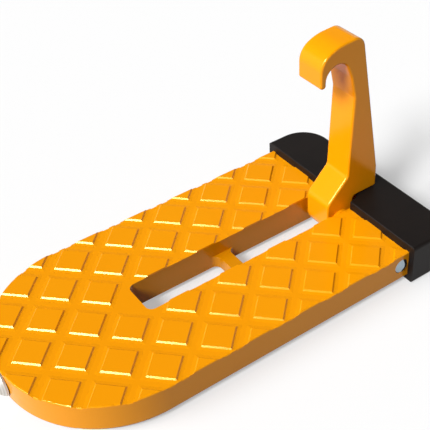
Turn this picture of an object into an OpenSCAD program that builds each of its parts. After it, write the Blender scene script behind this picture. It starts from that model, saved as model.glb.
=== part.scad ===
// Car door latch step: a cast tread plate with a folding hook that drops over a door's latch bar.
// X runs from the rounded outer end to the end that leans on the car, Y across, Z up.
// The origin is the middle of the whole part's footprint, on the plane it stands on.

/* [Tread plate] */
// Length of the cast plate, from its round end to the end inside the cap
plate_l = 159; // [150:1:170]
// Width of the plate, which also sets the round end
plate_w = 80; // [74:1:90]
// Height of the plate without its pads
plate_t = 10.9; // [9:0.1:13]
// Rounding of the plate's top edge between the pads
top_round = 0.5; // [0.3:0.1:2]
// Rounding of the plate's lower edge
low_round = 1.1; // [0.5:0.1:2]

/* [Pads] */
// Distance from one pad to the next, along a pad's side
pad_pitch = 15; // [12:0.5:18]
// Side of a pad at half its bevel
pad_side = 10; // [8:0.5:11]
// Height of a pad over the grooves
pad_h = 0.6; // [0.4:0.05:1.5]
// Width of the gentle slope at a pad's foot
foot_w = 1.3; // [0.5:0.1:2]
// Height of that slope, under the pad's steep bevel
foot_h = 0.12; // [0.05:0.01:0.3]
// Distance from the round end to the first pad's corner
pad_start = 4.8; // [3:0.1:8]

/* [Slot] */
// Distance from the round end to the slot
slot_x = 52.8; // [48:0.1:58]
// Width of the slot
slot_w = 15; // [14:0.1:17]
// Radius in the corners of the two windows
slot_round = 2.6; // [1.5:0.1:4]
// Length of the front window
window_l = 38; // [34:0.5:41]
// Thickness of the web between the windows, along the plate
web_t = 5; // [4:0.5:7]
// Height of the web
web_h = 5; // [4:0.25:6]

/* [Hinge] */
// Distance from the hinge pin to the cap's front
pin_to_cap = 3.2; // [3.1:0.1:5]
// Height of the hinge pin over the plate's underside
pin_z = 6.5; // [6.4:0.1:7]
// Diameter of the hinge pin
pin_d = 6; // [5:0.1:6.2]
// How far each domed end of the pin stands out of the plate
pin_out = 0.8; // [0.4:0.1:1.2]
// Gap all round between the pin and the hook's bore
pin_gap = 0.05; // [0.02:0.01:0.09]

/* [Hook] */
// Width of the hook
hook_w = 12.4; // [11:0.1:12.8]
// Rounding of the hook's long edges
hook_edge = 0.6; // [0.4:0.05:0.9]
// Height of the hook's top over the pin
hook_top = 75.95; // [72:0.05:80]
// How far the top's crown stands in front of the pin
crown_x = 3.5; // [2:0.1:5]
// How much lower the crown is than the top's back corner
crown_fall = 0.55; // [0:0.05:1.5]
// How much lower the top's front corner is than its back corner
top_fall = 4.2; // [2:0.1:6]
// How far the top's back corner stands behind the pin
top_back = 8.15; // [7:0.05:10]
// Rounding of the top's back corner
top_round_back = 4.6; // [1.5:0.1:6]
// Rounding of the top's front corner
top_round_front = 7; // [4:0.25:7.5]
// How far the nose stands in front of the pin
nose_x = 10.5; // [10:0.1:11]
// Height of the nose's tip over the pin
nose_z = 61.2; // [60:0.1:63]
// Radius of the mouth that takes the latch bar
mouth_r = 5; // [4.75:0.05:5.2]
// How far the mouth's middle is in front of the pin
mouth_x = 3.1; // [2.8:0.1:3.3]
// Height of the mouth's middle over the pin
mouth_z = 63.35; // [62.5:0.05:64.5]
// Angle at which the throat leaves the mouth
throat_tilt = 21.8; // [15:0.2:26]
// Height at which the throat steepens, over the pin
throat_z = 61.3; // [60:0.1:62]
// How far the shank's front is behind the pin, at its upper end
shank_x = 4.9; // [4.5:0.1:5.5]
// Height of the shank front's upper end over the pin
shank_z = 52.3; // [48:0.1:55]
// How far the knee is behind the pin
knee_x = 3; // [2:0.1:3.4]
// Height of the knee over the pin
knee_z = 18.4; // [16:0.1:21]
// Height of the root's front corner over the pin
root_z = 9; // [8:0.1:10.5]
// Radius of the hook's knuckle round the pin
knuckle_r = 6.3; // [5.8:0.05:6.35]
// How far the heel reaches behind the pin
heel_x = 17.6; // [16:0.1:18.5]
// Height over the pin at which the back starts to lean
heel_rise = 17; // [14:0.5:20]
// Radius of the round boss on each side of the knuckle
boss_r = 4.6; // [4.3:0.1:5]
// Gap between each boss and the slot's wall
boss_gap = 0.1; // [0.05:0.01:0.3]
// Gap between each boss and the slot's round end
end_gap = 0.22; // [0.15:0.01:1]
// Gap under the heel where it stops on the cap
heel_gap = 0.05; // [0.02:0.01:0.2]

/* [Cap] */
// Length of the cap along the plate
cap_l = 20.2; // [19:0.1:24]
// Thickness of the cap's side walls
cap_side = 2.5; // [2:0.1:3.5]
// Thickness of the cap's back wall
cap_wall = 3.1; // [2.5:0.1:4]
// Height of the cap's top over the grooves
cap_top = 3.6; // [3:0.1:5]
// Thickness of the cap's bottom
cap_low = 2; // [1.5:0.1:3]
// Radius of the cap's two back corners, seen from above
cap_corner = 12; // [8:0.5:16]
// Rounding of the cap's long edges
cap_round = 1.2; // [0.8:0.1:2]
// Rounding of the cap's front lip
cap_lip = 0.5; // [0.3:0.05:1.2]
// How far the cap's notch stands back from the slot's wall
notch_gap = 0.5; // [0.3:0.05:1]

/* [Breaker tip] */
// Diameter of the tip's base
tip_d = 10.6; // [9:0.1:11]
// Length of the tip's cone
tip_l = 5.6; // [5:0.1:8]
// Height of the tip's collar, up to its cone
tip_collar = 0.7; // [0.4:0.1:1.5]
// Radius of the tip's blunt point
tip_point = 0.7; // [0.4:0.05:1]
// Diameter of the tip's stud in the plate
stud_d = 5; // [4:0.1:5.6]
// Length of the tip's stud
stud_l = 9; // [6:0.5:12]
// Air left behind the stud in its hole
stud_air = 0.5; // [0.2:0.1:1]

/* [Hidden] */
$fn = 64;
half_w = plate_w / 2;
web_x = slot_x + window_l;
window_x = web_x + web_t;
cap_back = plate_l + cap_wall;
cap_x = cap_back - cap_l;
back_round = cap_corner - cap_side;
pin_x = cap_x - pin_to_cap;
slot_end = pin_x + boss_r + end_gap + slot_w / 2
  - sqrt(pow(slot_w / 2, 2) - pow(slot_w / 2 - boss_gap, 2));
groove = pad_pitch - pad_side;
pad_bevel = pad_h - foot_h;
floor_half = groove / 2 - pad_bevel / 2 - foot_w;
bare_pad = floor((slot_x - pad_start) / sqrt(2) / pad_pitch) * pad_pitch + pad_side / 2;
grooves_from = -ceil((half_w + pad_start) / sqrt(2) / pad_pitch) - 1;
grooves_to = ceil((plate_l + half_w) / sqrt(2) / pad_pitch);
cap_half = half_w + cap_side;
heel_z = plate_t + cap_top + heel_gap - pin_z;
tip_x = tip_collar + tip_l;
middle_x = (cap_back - tip_x) / 2;

// Puts the part's own places into the shared frame.
module placed() {
  translate([-middle_x, 0, cap_low]) children();
}

// Turns a flat outline drawn in X and Z into a bar across the part.
module bar(w) {
  rotate([90, 0, 0]) linear_extrude(height = w, center = true) children();
}

// A flat outline from x 0 to r, its two outer corners rounded by up and low.
module edge_outline(r, z0, z1, up, low) {
  difference() {
    translate([0, z0]) square([r, z1 - z0]);
    translate([r - low, z0 - 1]) square([low + 1, low + 1]);
    translate([r - up, z1 - up]) square([up + 1, up + 1]);
  }
  translate([r - low, z0 + low]) circle(r = low);
  translate([r - up, z1 - up]) circle(r = up);
}

// A slab from x0 back to x1, with rounded edges and two back corners of radius r.
module slab(x0, x1, half, r, z0, z1, up, low) {
  x = x1 - r;
  y = half - r;
  translate([x0, 0, 0])
    rotate([90, 0, 90])
      linear_extrude(height = x - x0) {
        edge_outline(half, z0, z1, up, low);
        mirror([1, 0]) edge_outline(half, z0, z1, up, low);
      }
  if (r > 0) {
    translate([x, y, 0])
      rotate_extrude(angle = 90) edge_outline(r, z0, z1, up, low);
    translate([x, -y, 0]) rotate([0, 0, -90])
      rotate_extrude(angle = 90) edge_outline(r, z0, z1, up, low);
    translate([x, 0, 0]) bar(2 * y) edge_outline(r, z0, z1, up, low);
  }
}

// The plate's blank: a full round end in front, then a slab.
module blank(z0, z1, up, low, to_x, r) {
  translate([half_w, 0, 0])
    rotate([0, 0, 90])
      rotate_extrude(angle = 180) edge_outline(half_w, z0, z1, up, low);
  slab(half_w, to_x, half_w, r, z0, z1, up, low);
}

// A row of straight grooves, all in one direction.
module groove_row(angle) {
  deep = pad_h + top_round + 1;
  foot = floor_half + foot_w;
  long = plate_l * 3;
  translate([pad_start, 0, plate_t + pad_h])
    rotate([0, 0, angle])
      for (i = [grooves_from : grooves_to])
        translate([(i + 1) * pad_pitch - groove / 2, 0, 0])
          bar(long)
            polygon([
              [-floor_half, -deep], [floor_half, -deep], [floor_half, -pad_h],
              [foot, -pad_bevel], [foot + pad_bevel + 0.2, 0.2],
              [-foot - pad_bevel - 0.2, 0.2], [-foot, -pad_bevel], [-floor_half, -pad_h]
            ]);
}

// The square pads, without the one that the slot's front end would cut.
module pads() {
  difference() {
    blank(plate_t - top_round - 0.5, plate_t + pad_h, pad_bevel, 0.01, cap_x, 0);
    groove_row(45);
    groove_row(-45);
    translate([pad_start + bare_pad * sqrt(2), 0, 0])
      rotate([0, 0, 45]) linear_extrude(height = plate_t + pad_h + 1)
        square(pad_pitch - floor_half, center = true);
  }
}

// An upright hole with rounded corners, from x0 to x1.
module window(x0, x1, z0, z1) {
  y = slot_w / 2;
  r = slot_round;
  translate([0, 0, z0]) linear_extrude(height = z1 - z0) {
    translate([x0 + r, -y]) square([x1 - x0 - 2 * r, slot_w]);
    translate([x0, r - y]) square([x1 - x0, slot_w - 2 * r]);
    for (x = [x0 + r, x1 - r], s = [-1, 1])
      translate([x, s * (y - r)]) circle(r = r);
  }
}

// The back window ends in a half round.
module back_window(z0, z1) {
  y = slot_w / 2;
  r = slot_round;
  translate([0, 0, z0]) linear_extrude(height = z1 - z0) {
    translate([window_x + r, -y]) square([slot_end - y - window_x - r, slot_w]);
    translate([window_x, r - y]) square([2 * r, slot_w - 2 * r]);
    for (s = [-1, 1]) translate([window_x + r, s * (y - r)]) circle(r = r);
    translate([slot_end - y, 0]) circle(r = y);
  }
}

module step_plate() {
  color("orange") difference() {
    union() {
      blank(0, plate_t, top_round, low_round, plate_l, back_round);
      pads();
    }
    window(slot_x, web_x, -1, plate_t + pad_h + 1);
    back_window(-1, plate_t + pad_h + 1);
    translate([web_x - slot_round - 1, -slot_w / 2, web_h])
      cube([web_t + 2 * slot_round + 2, slot_w, plate_t + pad_h]);
    translate([pin_x, 0, pin_z]) rotate([90, 0, 0])
      cylinder(r = pin_d / 2, h = plate_w + 2, center = true);
    translate([-1, 0, plate_t / 2]) rotate([0, 90, 0])
      cylinder(r = stud_d / 2, h = 1 + stud_l + stud_air);
  }
}

// Points of an outline whose corners [x, z, r] are each rounded by r.
function unit(v) = v / norm(v);
function turn(a, b) = a[0] * b[1] - a[1] * b[0];
function corner(a, p, b) =
  let(
    u = unit([a[0] - p[0], a[1] - p[1]]), v = unit([b[0] - p[0], b[1] - p[1]]),
    half = acos(max(-1, min(1, u * v))) / 2, r = p[2],
    middle = [p[0], p[1]] + unit(u + v) * r / sin(half),
    from = [p[0], p[1]] + u * r / tan(half),
    a0 = atan2(from[1] - middle[1], from[0] - middle[0]),
    sweep = (180 - 2 * half) * (turn(v, u) > 0 ? 1 : -1),
    steps = max(1, ceil(abs(sweep) / 6))
  ) [for (i = [0 : steps]) middle + r * [cos(a0 + sweep * i / steps), sin(a0 + sweep * i / steps)]];
function spaced(p) =
  let(n = len(p)) [for (i = [0 : n - 1]) if (norm(p[(i + 1) % n] - p[i]) > 0.05) p[i]];
function rounded(c) =
  let(n = len(c))
    spaced([for (i = [0 : n - 1]) each corner(c[(i + n - 1) % n], c[i], c[(i + 1) % n])]);

// The same outline moved inward by d, point for point. The outline runs anticlockwise.
function inward(p, d) =
  let(n = len(p)) [for (i = [0 : n - 1])
    let(
      e = unit(p[i] - p[(i + n - 1) % n]), f = unit(p[(i + 1) % n] - p[i]),
      m = unit([-e[1], e[0]] + [-f[1], f[0]])
    ) p[i] + m * d / max(0.5, m * [-e[1], e[0]])];

// Cuts the outline into triangles, one ear at a time.
function holds(a, b, c, q) =
  turn(b - a, q - a) >= 0 && turn(c - b, q - b) >= 0 && turn(a - c, q - c) >= 0;
function is_ear(p, ids, i) =
  let(
    n = len(ids), ia = ids[(i + n - 1) % n], ib = ids[i], ic = ids[(i + 1) % n],
    a = p[ia], b = p[ib], c = p[ic]
  ) turn(b - a, c - b) > 0 &&
    len([for (k = ids) if (k != ia && k != ib && k != ic && holds(a, b, c, p[k])) 1]) == 0;
function find_ear(p, ids, i) = i >= len(ids) ? 0 : is_ear(p, ids, i) ? i : find_ear(p, ids, i + 1);
function ears(p, ids, done) =
  len(ids) < 4 ? concat(done, [ids]) :
  let(n = len(ids), i = find_ear(p, ids, 0))
    ears(
      p, [for (k = [0 : n - 1]) if (k != i) ids[k]],
      concat(done, [[ids[(i + n - 1) % n], ids[i], ids[(i + 1) % n]]])
    );

// A bar across the part with this outline and softly rounded long edges.
module soft_bar(outline, w, r) {
  n = len(outline);
  levels = [
    for (a = [90, 60, 30, 0]) [-w / 2 + r - r * sin(a), r - r * cos(a)],
    for (a = [0, 30, 60, 90]) [w / 2 - r + r * sin(a), r - r * cos(a)]
  ];
  m = len(levels);
  lid = ears(inward(outline, r), [for (i = [0 : n - 1]) i], []);
  points = [
    for (l = levels) let(q = inward(outline, l[1])) each [for (p = q) [p[0], l[0], p[1]]]
  ];
  sides = [
    for (k = [0 : m - 2], i = [0 : n - 1])
      let(j = (i + 1) % n) each [
        [k * n + i, (k + 1) * n + i, (k + 1) * n + j],
        [k * n + i, (k + 1) * n + j, k * n + j]
      ]
  ];
  front = [for (t = lid) [t[2], t[1], t[0]]];
  back = [for (t = lid) [for (i = t) (m - 1) * n + i]];
  polyhedron(points = points, faces = concat(front, sides, back));
}

// The mouth is cast a hair small here, and its round wall is then cut to size.
cast_r = mouth_r - 0.03;
throat_from = [-mouth_x, mouth_z] + cast_r * [cos(throat_tilt), sin(throat_tilt)];
throat_top = [-mouth_x, mouth_z]
  + cast_r / cos(45 - throat_tilt / 2) * [cos(45 + throat_tilt / 2), sin(45 + throat_tilt / 2)];
wall_x = -mouth_x - cast_r;
hook_corners = [
  [top_back, hook_top, top_round_back],
  [-crown_x, hook_top - crown_fall, 16],
  [-nose_x, hook_top - top_fall, top_round_front],
  [-nose_x, nose_z, (nose_x + wall_x) * 0.46],
  [wall_x, nose_z, (nose_x + wall_x) * 0.46],
  [wall_x, mouth_z + cast_r, cast_r],
  [throat_top[0], throat_top[1], cast_r],
  [throat_from[0] + tan(throat_tilt) * (throat_from[1] - throat_z), throat_z, 10],
  [shank_x, shank_z, 6],
  [knee_x, knee_z, 10],
  [-knuckle_r, root_z, 8],
  [-knuckle_r, -knuckle_r, knuckle_r],
  [knuckle_r, -knuckle_r, knuckle_r],
  [knuckle_r, heel_z, 1.2],
  [heel_x, heel_z, 1.2],
  [heel_x, heel_rise, 14]
];

module hook_arm() {
  color("orange") translate([pin_x, 0, pin_z]) difference() {
    union() {
      soft_bar(rounded(hook_corners), hook_w, hook_edge);
      rotate([90, 0, 0]) cylinder(r = boss_r, h = slot_w - 2 * boss_gap, center = true);
    }
    rotate([90, 0, 0]) cylinder(r = pin_d / 2 + pin_gap, h = slot_w + 2, center = true);
    translate([-mouth_x, 0, mouth_z]) rotate([90, 0, 0])
      cylinder(r = mouth_r, h = slot_w + 2, center = true);
  }
}

module rubber_cap() {
  y = slot_w / 2 + notch_gap;
  color("dimgray") difference() {
    intersection() {
      slab(cap_x, cap_back, cap_half, cap_corner, -cap_low, plate_t + cap_top, cap_round, cap_round);
      translate([cap_back + 1, 0, 0]) mirror([1, 0, 0])
        bar(2 * cap_half + 2) edge_outline(cap_l + 1, -cap_low, plate_t + cap_top, cap_lip, cap_lip);
    }
    blank(0, plate_t, top_round, low_round, plate_l, back_round);
    translate([cap_x - 1, -y, plate_t / 2])
      cube([slot_end - y - cap_x + 1, 2 * y, plate_t + cap_top]);
    translate([slot_end - y, 0, plate_t / 2]) cylinder(r = y, h = plate_t + cap_top);
  }
}

// The pin runs right across, with a low dome on each end.
module pivot_pin() {
  r = pin_d / 2;
  h = half_w + pin_out;
  color("silver") translate([pin_x, 0, pin_z]) rotate([90, 0, 0]) {
    intersection() {
      cylinder(r = r, h = 2 * h, center = true);
      for (s = [-1, 1]) translate([0, 0, s * (h - r * 1.6)]) sphere(r = r * 1.6);
    }
    cylinder(r = r, h = 2 * (h - r * 1.6 + sqrt(1.56) * r), center = true);
  }
}

module breaker_tip() {
  color("silver") translate([0, 0, plate_t / 2]) rotate([0, -90, 0])
    rotate_extrude() {
      polygon([
        [0, -stud_l], [stud_d / 2 - 0.4, -stud_l], [stud_d / 2, 0.4 - stud_l],
        [stud_d / 2, 0], [tip_d / 2, 0], [tip_d / 2, tip_collar],
        [tip_point, tip_x - tip_point * 0.5], [tip_point * 0.4, tip_x], [0, tip_x]
      ]);
    }
}

placed() step_plate();
placed() hook_arm();
placed() rubber_cap();
placed() pivot_pin();
placed() breaker_tip();
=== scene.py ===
# Car door latch step, dressed and lit as on a plain studio table.
# Lengths are in metres unless a name says mm. X runs from the nose to the cap, Z is up.
import math
import bmesh
import bpy
from mathutils import Matrix, Vector


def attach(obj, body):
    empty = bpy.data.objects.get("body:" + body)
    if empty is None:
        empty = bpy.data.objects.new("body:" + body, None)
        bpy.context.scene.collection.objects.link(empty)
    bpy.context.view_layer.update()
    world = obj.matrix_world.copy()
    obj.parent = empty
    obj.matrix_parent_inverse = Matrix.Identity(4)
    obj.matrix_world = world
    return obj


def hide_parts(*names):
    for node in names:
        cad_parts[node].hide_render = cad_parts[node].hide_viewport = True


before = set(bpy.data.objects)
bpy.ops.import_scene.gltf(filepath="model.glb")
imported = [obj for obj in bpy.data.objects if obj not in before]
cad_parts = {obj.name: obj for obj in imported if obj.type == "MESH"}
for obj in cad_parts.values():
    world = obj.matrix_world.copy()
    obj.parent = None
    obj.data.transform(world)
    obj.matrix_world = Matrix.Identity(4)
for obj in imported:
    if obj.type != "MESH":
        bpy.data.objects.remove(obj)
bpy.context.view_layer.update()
print("frame loaded:", ", ".join(sorted(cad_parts)))

mm = 0.001


def linear(hexColour):
    # sRGB hex to the linear values that Blender's sockets take
    values = [int(hexColour[i:i + 2], 16) / 255 for i in (1, 3, 5)]
    return [v / 12.92 if v <= 0.04045 else ((v + 0.055) / 1.055) ** 2.4 for v in values] + [1.0]


def addNode(tree, kind, links=(), inputs=(), **settings):
    # one node, its settings, its socket values, and links given as (input, other node, output)
    # a colour mix takes its two colours at inputs 6 and 7, and gives the result at output 2
    node = tree.nodes.new(kind)
    for name, value in settings.items():
        setattr(node, name, value)
    for name, value in dict(inputs).items():
        node.inputs[name].default_value = value
    for name, other, output in links:
        tree.links.new(other.outputs[output], node.inputs[name])
    return node


def newMaterial(name):
    material = bpy.data.materials.new(name)
    material.use_nodes = True
    material.node_tree.nodes.clear()
    return material, material.node_tree


def dress(nodeName, material):
    # the CAD node keeps its mesh and takes the finished material
    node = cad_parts[nodeName]
    node.data.materials.clear()
    node.data.materials.append(material)


# Camera, fitted to the corners of the studs in the photo

camera = {
    "azimuthDegrees": -31.844, "elevationDegrees": 39.356, "rollDegrees": -4.225,
    "distance": 0.355342, "aim": (0.021371, 0.020473, 0.0135), "near": 0.01, "far": 50,
    "lensMm": 78.19, "sensorMm": 36,
}


def buildCamera(c):
    # back points from the aim to the camera, and the picture is rolled about it
    azimuth = math.radians(c["azimuthDegrees"])
    elevation = math.radians(c["elevationDegrees"])
    roll = math.radians(c["rollDegrees"])
    back = Vector((math.sin(azimuth) * math.cos(elevation),
                   -math.cos(azimuth) * math.cos(elevation), math.sin(elevation)))
    level = Vector((0, 0, 1)).cross(back).normalized()
    upright = back.cross(level)
    right = level * math.cos(roll) + upright * math.sin(roll)
    up = upright * math.cos(roll) - level * math.sin(roll)
    data = bpy.data.cameras.new("viewCamera")
    data.lens = c["lensMm"]
    data.sensor_width = c["sensorMm"]
    data.clip_start = c["near"]
    data.clip_end = c["far"]
    item = bpy.data.objects.new("viewCamera", data)
    turn = Matrix((right, up, back)).transposed().to_4x4()
    item.matrix_world = Matrix.Translation(Vector(c["aim"]) + back * c["distance"]) @ turn
    bpy.context.scene.collection.objects.link(item)
    bpy.context.scene.camera = item


buildCamera(camera)
print("camera placed")


# Materials
# "smoother" and "rougher" say how far the roughness strays to each side of its middle value.

# most of a noise texture's values lie in this range
noiseRange = {"From Min": 0.3, "From Max": 0.7}

coat = {
    "colour": "#ea9704", "deep": "#e79002", "cloudMm": 30, "metallic": 0.08, "gloss": 0.22,
    "roughness": 0.18, "smoother": 0.04, "rougher": 0.05,
    "peelMm": 0.9, "peelDepthMm": 0.05, "peelBump": 0.016,
    "grainMm": 0.22, "grainDepthMm": 0.02, "grainBump": 0.016,
}
# the box that holds the slot's walls and the cross web, and the darker colour painted on them as shade
slot = {"middleMm": (22, 0, 6.4), "halfMm": (47.5, 7.56, 6.45), "colour": "#ca8203"}


def insideBox(tree, place, box):
    # 1 where the surface lies inside the box, 0 outside
    offset = addNode(tree, "ShaderNodeVectorMath", [(0, place, "Object")],
                     {1: [v * mm for v in box["middleMm"]]}, operation="SUBTRACT")
    share = addNode(tree, "ShaderNodeVectorMath", [(0, offset, 0)],
                    {1: [v * mm for v in box["halfMm"]]}, operation="DIVIDE")
    reach = addNode(tree, "ShaderNodeVectorMath", [(0, share, 0)], operation="ABSOLUTE")
    split = addNode(tree, "ShaderNodeSeparateXYZ", [("Vector", reach, 0)])
    level = addNode(tree, "ShaderNodeMath", [(0, split, "X"), (1, split, "Y")], operation="MAXIMUM")
    most = addNode(tree, "ShaderNodeMath", [(0, level, 0), (1, split, "Z")], operation="MAXIMUM")
    return addNode(tree, "ShaderNodeMath", [(0, most, 0)], {1: 1.0}, operation="LESS_THAN")


def powderCoat(name, c, paintedShadeBox=None):
    # Polyester powder coat on die-cast aluminium: satin, one even colour, a faint orange peel.
    # Inside a given box the colour is darker: painted shade, standing in for the shade that falls in a
    # deep slot.
    material, tree = newMaterial(name)
    place = addNode(tree, "ShaderNodeTexCoord")
    cloud = addNode(tree, "ShaderNodeTexNoise", [("Vector", place, "Object")],
                    {"Scale": 1 / (c["cloudMm"] * mm), "Detail": 2.0, "Roughness": 0.5})
    tone = addNode(tree, "ShaderNodeMix", [("Factor", cloud, "Fac")],
                   {6: linear(c["deep"]), 7: linear(c["colour"])}, data_type="RGBA")
    # painted shade: inside the box the coat takes the box's darker colour
    if paintedShadeBox:
        inside = insideBox(tree, place, paintedShadeBox)
        tone = addNode(tree, "ShaderNodeMix", [("Factor", inside, 0), (6, tone, 2)],
                       {7: linear(paintedShadeBox["colour"])}, data_type="RGBA")
    peel = addNode(tree, "ShaderNodeTexNoise", [("Vector", place, "Object")],
                   {"Scale": 1 / (c["peelMm"] * mm), "Detail": 1.0, "Roughness": 0.4})
    grain = addNode(tree, "ShaderNodeTexNoise", [("Vector", place, "Object")],
                    {"Scale": 1 / (c["grainMm"] * mm), "Detail": 2.0, "Roughness": 0.5})
    gloss = addNode(tree, "ShaderNodeMapRange", [("Value", grain, "Fac")],
                    {**noiseRange, "To Min": c["roughness"] - c["smoother"],
                     "To Max": c["roughness"] + c["rougher"]})
    wave = addNode(tree, "ShaderNodeBump", [("Height", peel, "Fac")],
                   {"Strength": c["peelBump"], "Distance": c["peelDepthMm"] * mm})
    fine = addNode(tree, "ShaderNodeBump", [("Height", grain, "Fac"), ("Normal", wave, "Normal")],
                   {"Strength": c["grainBump"], "Distance": c["grainDepthMm"] * mm})
    shader = addNode(tree, "ShaderNodeBsdfPrincipled",
                     [("Base Color", tone, 2), ("Roughness", gloss, "Result"), ("Normal", fine, "Normal")],
                     {"IOR": 1.5, "Specular IOR Level": c["gloss"], "Metallic": c["metallic"]})
    addNode(tree, "ShaderNodeOutputMaterial", [("Surface", shader, "BSDF")])
    return material


rubber = {
    "colour": "#0d0908", "worn": "#18120f", "cloudMm": 9, "gloss": 0.18,
    "roughness": 0.5, "smoother": 0.06, "rougher": 0.1,
    "grainMm": 0.25, "grainDepthMm": 0.04, "grainBump": 0.25,
}


def mouldedRubber(c):
    # Moulded black rubber: matt, with the mould's fine spark-eroded grain and a slightly uneven bloom.
    material, tree = newMaterial("mouldedRubber")
    place = addNode(tree, "ShaderNodeTexCoord")
    cloud = addNode(tree, "ShaderNodeTexNoise", [("Vector", place, "Object")],
                    {"Scale": 1 / (c["cloudMm"] * mm), "Detail": 4.0, "Roughness": 0.6})
    tone = addNode(tree, "ShaderNodeMix", [("Factor", cloud, "Fac")],
                   {6: linear(c["colour"]), 7: linear(c["worn"])}, data_type="RGBA")
    grain = addNode(tree, "ShaderNodeTexNoise", [("Vector", place, "Object")],
                    {"Scale": 1 / (c["grainMm"] * mm), "Detail": 3.0, "Roughness": 0.6})
    gloss = addNode(tree, "ShaderNodeMapRange", [("Value", grain, "Fac")],
                    {**noiseRange, "To Min": c["roughness"] - c["smoother"],
                     "To Max": c["roughness"] + c["rougher"]})
    bump = addNode(tree, "ShaderNodeBump", [("Height", grain, "Fac")],
                   {"Strength": c["grainBump"], "Distance": c["grainDepthMm"] * mm})
    shader = addNode(tree, "ShaderNodeBsdfPrincipled",
                     [("Base Color", tone, 2), ("Roughness", gloss, "Result"), ("Normal", bump, "Normal")],
                     {"IOR": 1.5, "Specular IOR Level": c["gloss"]})
    addNode(tree, "ShaderNodeOutputMaterial", [("Surface", shader, "BSDF")])
    return material


steel = {
    "colour": "#a6b5be", "smear": "#8b99a1", "cloudMm": 2.5,
    "roughness": 0.13, "smoother": 0.05, "rougher": 0.1,
    "grainMm": 0.5, "grainDepthMm": 0.03, "grainBump": 0.15,
}


def platedSteel(c):
    # Bright zinc plate over a turned steel pin: metallic, a little cloudy.
    material, tree = newMaterial("zincPlatedSteel")
    place = addNode(tree, "ShaderNodeTexCoord")
    cloud = addNode(tree, "ShaderNodeTexNoise", [("Vector", place, "Object")],
                    {"Scale": 1 / (c["cloudMm"] * mm), "Detail": 3.0, "Roughness": 0.6})
    tone = addNode(tree, "ShaderNodeMix", [("Factor", cloud, "Fac")],
                   {6: linear(c["smear"]), 7: linear(c["colour"])}, data_type="RGBA")
    grain = addNode(tree, "ShaderNodeTexNoise", [("Vector", place, "Object")],
                    {"Scale": 1 / (c["grainMm"] * mm), "Detail": 2.0, "Roughness": 0.5})
    gloss = addNode(tree, "ShaderNodeMapRange", [("Value", grain, "Fac")],
                    {**noiseRange, "To Min": c["roughness"] - c["smoother"],
                     "To Max": c["roughness"] + c["rougher"]})
    bump = addNode(tree, "ShaderNodeBump", [("Height", grain, "Fac")],
                   {"Strength": c["grainBump"], "Distance": c["grainDepthMm"] * mm})
    shader = addNode(tree, "ShaderNodeBsdfPrincipled",
                     [("Base Color", tone, 2), ("Roughness", gloss, "Result"), ("Normal", bump, "Normal")],
                     {"Metallic": 1.0})
    addNode(tree, "ShaderNodeOutputMaterial", [("Surface", shader, "BSDF")])
    return material


tip = {
    "colour": "#d8d5cf", "groove": "#c4c0b9", "roughness": 0.46, "smoother": 0.04, "rougher": 0.08,
    "ringMm": 0.8, "ringDepthMm": 0.03, "ringBump": 0.08,
}


def turnedSteel(c):
    # Hardened steel, turned and ground: metallic, with rings round its axis, which runs along X.
    # The usual 0.3 mm between turning marks is too fine to show, so they are drawn coarser.
    material, tree = newMaterial("turnedHardenedSteel")
    place = addNode(tree, "ShaderNodeTexCoord")
    scale = math.pi / 10 / (c["ringMm"] * mm)  # a wave texture of scale 1 repeats every pi / 10
    rings = addNode(tree, "ShaderNodeTexWave", [("Vector", place, "Object")],
                    {"Scale": scale, "Distortion": 0.6, "Detail": 2.0},
                    wave_type="BANDS", bands_direction="X")
    tone = addNode(tree, "ShaderNodeMix", [("Factor", rings, "Fac")],
                   {6: linear(c["groove"]), 7: linear(c["colour"])}, data_type="RGBA")
    gloss = addNode(tree, "ShaderNodeMapRange", [("Value", rings, "Fac")],
                    {"To Min": c["roughness"] + c["rougher"], "To Max": c["roughness"] - c["smoother"]})
    bump = addNode(tree, "ShaderNodeBump", [("Height", rings, "Fac")],
                   {"Strength": c["ringBump"], "Distance": c["ringDepthMm"] * mm})
    shader = addNode(tree, "ShaderNodeBsdfPrincipled",
                     [("Base Color", tone, 2), ("Roughness", gloss, "Result"), ("Normal", bump, "Normal")],
                     {"Metallic": 1.0})
    addNode(tree, "ShaderNodeOutputMaterial", [("Surface", shader, "BSDF")])
    return material


dress("step_plate", powderCoat("powderCoatedPlateCasting", coat, slot))
dress("rubber_cap", mouldedRubber(rubber))
dress("pivot_pin", platedSteel(steel))
dress("breaker_tip", turnedSteel(tip))
print("materials set")


# The hook, with the softly rounded edges of a casting

hook = {
    "node": "hook_arm", "body": "hook", "slot": "hook_coat",
    "pinMm": (60.8, 8.5), "widthMm": 12.4, "edgeMm": 0.85, "edgeSteps": 4, "arcDegrees": 3,
    "bossRadiusMm": 4.6, "bossWidthMm": 14.8, "boreRadiusMm": 3.05, "roundSides": 96,
    "apartMm": 0.01, "mergeMm": 0.002, "smoothDegrees": 34,
    # the outline's corners, seen from the side: place from the pin's axis, and radius of the rounding
    "cornersMm": [
        (8.15, 75.95, 4.6), (-3.5, 75.4, 16), (-10.5, 71.75, 7),  # top
        (-10.5, 61.2, 1.1), (-8.1, 61.2, 1.1),  # nose
        (-8.1, 68.35, 5), (0.285, 68.35, 5), (3.105, 61.3, 10),  # mouth and throat
        (4.9, 52.3, 3), (3, 18.4, 2.5), (-6.3, 9, 4),  # shank, knee and root
        (-6.3, -6.3, 6.3), (6.3, -6.3, 6.3),  # knuckle
        (6.3, 8.05, 1.2), (17.6, 8.05, 1.2), (17.6, 17, 14),  # heel and back
    ],
}


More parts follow.
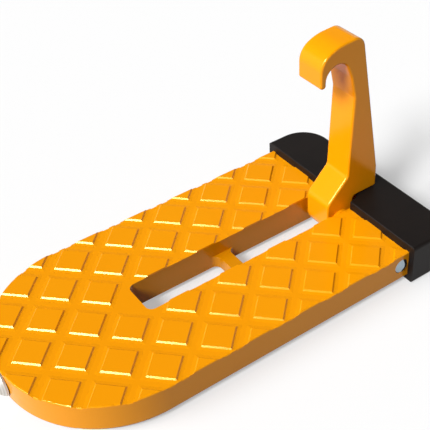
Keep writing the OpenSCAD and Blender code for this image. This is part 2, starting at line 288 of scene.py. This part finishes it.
def roundCorner(before, corner, after, arcDegrees):
    # points along the arc that rounds one corner of an outline and touches both of its sides
    place = Vector(corner[:2])
    radius = corner[2]
    toBefore = (Vector(before[:2]) - place).normalized()
    toAfter = (Vector(after[:2]) - place).normalized()
    half = toBefore.angle(toAfter) / 2
    middle = place + (toBefore + toAfter).normalized() * radius / math.sin(half)
    first = place + toBefore * radius / math.tan(half) - middle
    sweep = math.pi - 2 * half
    if toAfter.x * toBefore.y - toAfter.y * toBefore.x < 0:
        sweep = -sweep
    steps = max(1, math.ceil(abs(math.degrees(sweep)) / arcDegrees))
    return [middle + Matrix.Rotation(sweep * i / steps, 2) @ first for i in range(steps + 1)]


def hookOutline(c):
    # the rounded outline, without points that fall on each other where two arcs meet
    corners = c["cornersMm"]
    points = []
    for i, corner in enumerate(corners):
        after = corners[(i + 1) % len(corners)]
        points += roundCorner(corners[i - 1], corner, after, c["arcDegrees"])
    return [p for i, p in enumerate(points) if (p - points[i - 1]).length > c["apartMm"]]


def joinOrCut(piece, operation, c, radiusMm, depthMm):
    # joins a round bar to the piece, or cuts it away, along the pin's axis
    bpy.ops.object.select_all(action="DESELECT")
    bpy.ops.mesh.primitive_cylinder_add(
        vertices=c["roundSides"], radius=radiusMm * mm, depth=depthMm * mm,
        rotation=(math.pi / 2, 0, 0), location=(c["pinMm"][0] * mm, 0, c["pinMm"][1] * mm))
    tool = bpy.context.object
    bpy.context.view_layer.objects.active = piece
    bpy.ops.object.modifier_add(type="BOOLEAN")
    modifier = piece.modifiers[-1]
    modifier.operation = operation
    modifier.object = tool
    modifier.solver = "EXACT"
    bpy.ops.object.modifier_apply(modifier=modifier.name)
    bpy.data.objects.remove(tool)


def buildHook(c, material):
    # the outline is drawn on one side, pulled across, and its long edges are bevelled
    bpy.ops.object.select_all(action="DESELECT")
    side = c["widthMm"] / 2
    points = [(x + c["pinMm"][0], -side, z + c["pinMm"][1]) for x, z in hookOutline(c)]
    mesh = bpy.data.meshes.new("hookCasting")
    mesh.from_pydata([Vector(p) * mm for p in points], [], [list(range(len(points)))])
    piece = bpy.data.objects.new("hookCasting", mesh)
    bpy.context.scene.collection.objects.link(piece)
    piece.select_set(True)
    bpy.context.view_layer.objects.active = piece
    bpy.ops.object.mode_set(mode="EDIT")
    bpy.ops.mesh.select_all(action="SELECT")
    bpy.ops.mesh.extrude_region_move(TRANSFORM_OT_translate={"value": (0, c["widthMm"] * mm, 0)})
    bpy.ops.mesh.select_all(action="SELECT")
    bpy.ops.mesh.normals_make_consistent(inside=False)
    bpy.ops.mesh.select_mode(type="EDGE")
    bpy.ops.mesh.select_all(action="DESELECT")
    shape = bmesh.from_edit_mesh(mesh)
    for edge in shape.edges:
        edge.select = edge.verts[0].co.y * edge.verts[1].co.y > 0  # both ends on one side
    bmesh.update_edit_mesh(mesh)
    bpy.ops.mesh.bevel(offset=c["edgeMm"] * mm, segments=c["edgeSteps"], affect="EDGES",
                       clamp_overlap=False)
    bpy.ops.object.mode_set(mode="OBJECT")
    joinOrCut(piece, "UNION", c, c["bossRadiusMm"], c["bossWidthMm"])
    joinOrCut(piece, "DIFFERENCE", c, c["boreRadiusMm"], 2 * c["bossWidthMm"])  # well past both bosses
    bpy.ops.object.select_all(action="DESELECT")
    piece.select_set(True)
    bpy.context.view_layer.objects.active = piece
    bpy.ops.object.mode_set(mode="EDIT")
    bpy.ops.mesh.select_all(action="SELECT")
    bpy.ops.mesh.remove_doubles(threshold=c["mergeMm"] * mm)
    bpy.ops.object.mode_set(mode="OBJECT")
    bpy.ops.object.shade_smooth_by_angle(angle=math.radians(c["smoothDegrees"]))
    bpy.ops.object.modifier_add(type="WEIGHTED_NORMAL")
    piece.modifiers[-1].keep_sharp = True
    bpy.ops.object.modifier_apply(modifier=piece.modifiers[-1].name)
    mesh.materials.append(material)
    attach(piece, c["body"])
    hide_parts(c["node"])


buildHook(hook, powderCoat("powderCoatedHookCasting", coat))
print("hook built")


# Floor, lights and backdrop

studio = {
    "floorSize": 30, "floorSeen": "#e2e2e2", "floorBounce": "#565656", "floorGlow": 0.4,
    "skyStrength": 0.12, "wallTopDegrees": 18, "wallFadeDegrees": 12,
    "lamps": {
        "broadLight": {"from": (-0.8, 0.24, 0.55), "spreadDegrees": 30, "strength": 2.4},
        # it comes from where the studs' bevels mirror it to the camera
        "glintLight": {"from": (-0.7, -0.23, 0.675), "spreadDegrees": 16.8, "strength": 3.5},
    },
}


def seenRays(tree):
    # 1 where the camera looks, straight, in a reflection or through glass, and 0 for bounced light
    path = addNode(tree, "ShaderNodeLightPath")
    direct = addNode(tree, "ShaderNodeMath", [(0, path, "Is Camera Ray"), (1, path, "Is Glossy Ray")],
                     operation="MAXIMUM")
    return addNode(tree, "ShaderNodeMath", [(0, direct, 0), (1, path, "Is Transmission Ray")],
                   operation="MAXIMUM")


def floorMaterial(c):
    # The floor looks white to the camera and in reflections, and throws back less light than that.
    # Part of that white is a glow of its own, which keeps the shadows soft.
    material, tree = newMaterial("studioFloor")
    seen = seenRays(tree)
    tone = addNode(tree, "ShaderNodeMix", [("Factor", seen, 0)],
                   {6: linear(c["floorBounce"]), 7: linear(c["floorSeen"])}, data_type="RGBA")
    matt = addNode(tree, "ShaderNodeBsdfDiffuse", [("Color", tone, 2)])
    glow = addNode(tree, "ShaderNodeEmission", (), {"Color": (1, 1, 1, 1), "Strength": 1.0})
    share = addNode(tree, "ShaderNodeMath", [(0, seen, 0)], {1: c["floorGlow"]}, operation="MULTIPLY")
    shader = addNode(tree, "ShaderNodeMixShader", [(0, share, 0), (1, matt, 0), (2, glow, 0)])
    addNode(tree, "ShaderNodeOutputMaterial", [("Surface", shader, 0)])
    return material


def buildStudio(c):
    bpy.ops.object.select_all(action="DESELECT")
    bpy.ops.mesh.primitive_plane_add(size=c["floorSize"], location=(0, 0, 0))
    floor = bpy.context.object
    floor.name = "studioFloor"
    floor.data.materials.append(floorMaterial(c))
    for name, lamp in c["lamps"].items():
        away = Vector(lamp["from"]).normalized()
        data = bpy.data.lights.new(name, "SUN")
        data.angle = math.radians(lamp["spreadDegrees"])
        data.energy = lamp["strength"]
        item = bpy.data.objects.new(name, data)
        item.rotation_euler = away.to_track_quat("Z", "Y").to_euler()
        bpy.context.scene.collection.objects.link(item)
    # Seen rays meet a white wall all round, up to a low height. All else is a dim and even sky.
    world = bpy.data.worlds.new("studioWorld")
    world.use_nodes = True
    tree = world.node_tree
    tree.nodes.clear()
    direction = addNode(tree, "ShaderNodeTexCoord")
    height = addNode(tree, "ShaderNodeSeparateXYZ", [("Vector", direction, "Object")])
    top = c["wallTopDegrees"]
    wall = addNode(tree, "ShaderNodeMapRange", [("Value", height, "Z")],
                   {"From Min": math.sin(math.radians(top)),
                    "From Max": math.sin(math.radians(top + c["wallFadeDegrees"])),
                    "To Min": 1.0, "To Max": 0.0})
    share = addNode(tree, "ShaderNodeMath", [(0, seenRays(tree), 0), (1, wall, "Result")],
                    operation="MULTIPLY")
    strength = addNode(tree, "ShaderNodeMapRange", [("Value", share, 0)],
                       {"To Min": c["skyStrength"], "To Max": 1.0})
    back = addNode(tree, "ShaderNodeBackground", [("Strength", strength, "Result")],
                   {"Color": (1, 1, 1, 1)})
    addNode(tree, "ShaderNodeOutputWorld", [("Surface", back, "Background")])
    bpy.context.scene.world = world


buildStudio(studio)
bpy.context.scene.view_settings.view_transform = "Standard"
print("studio built")
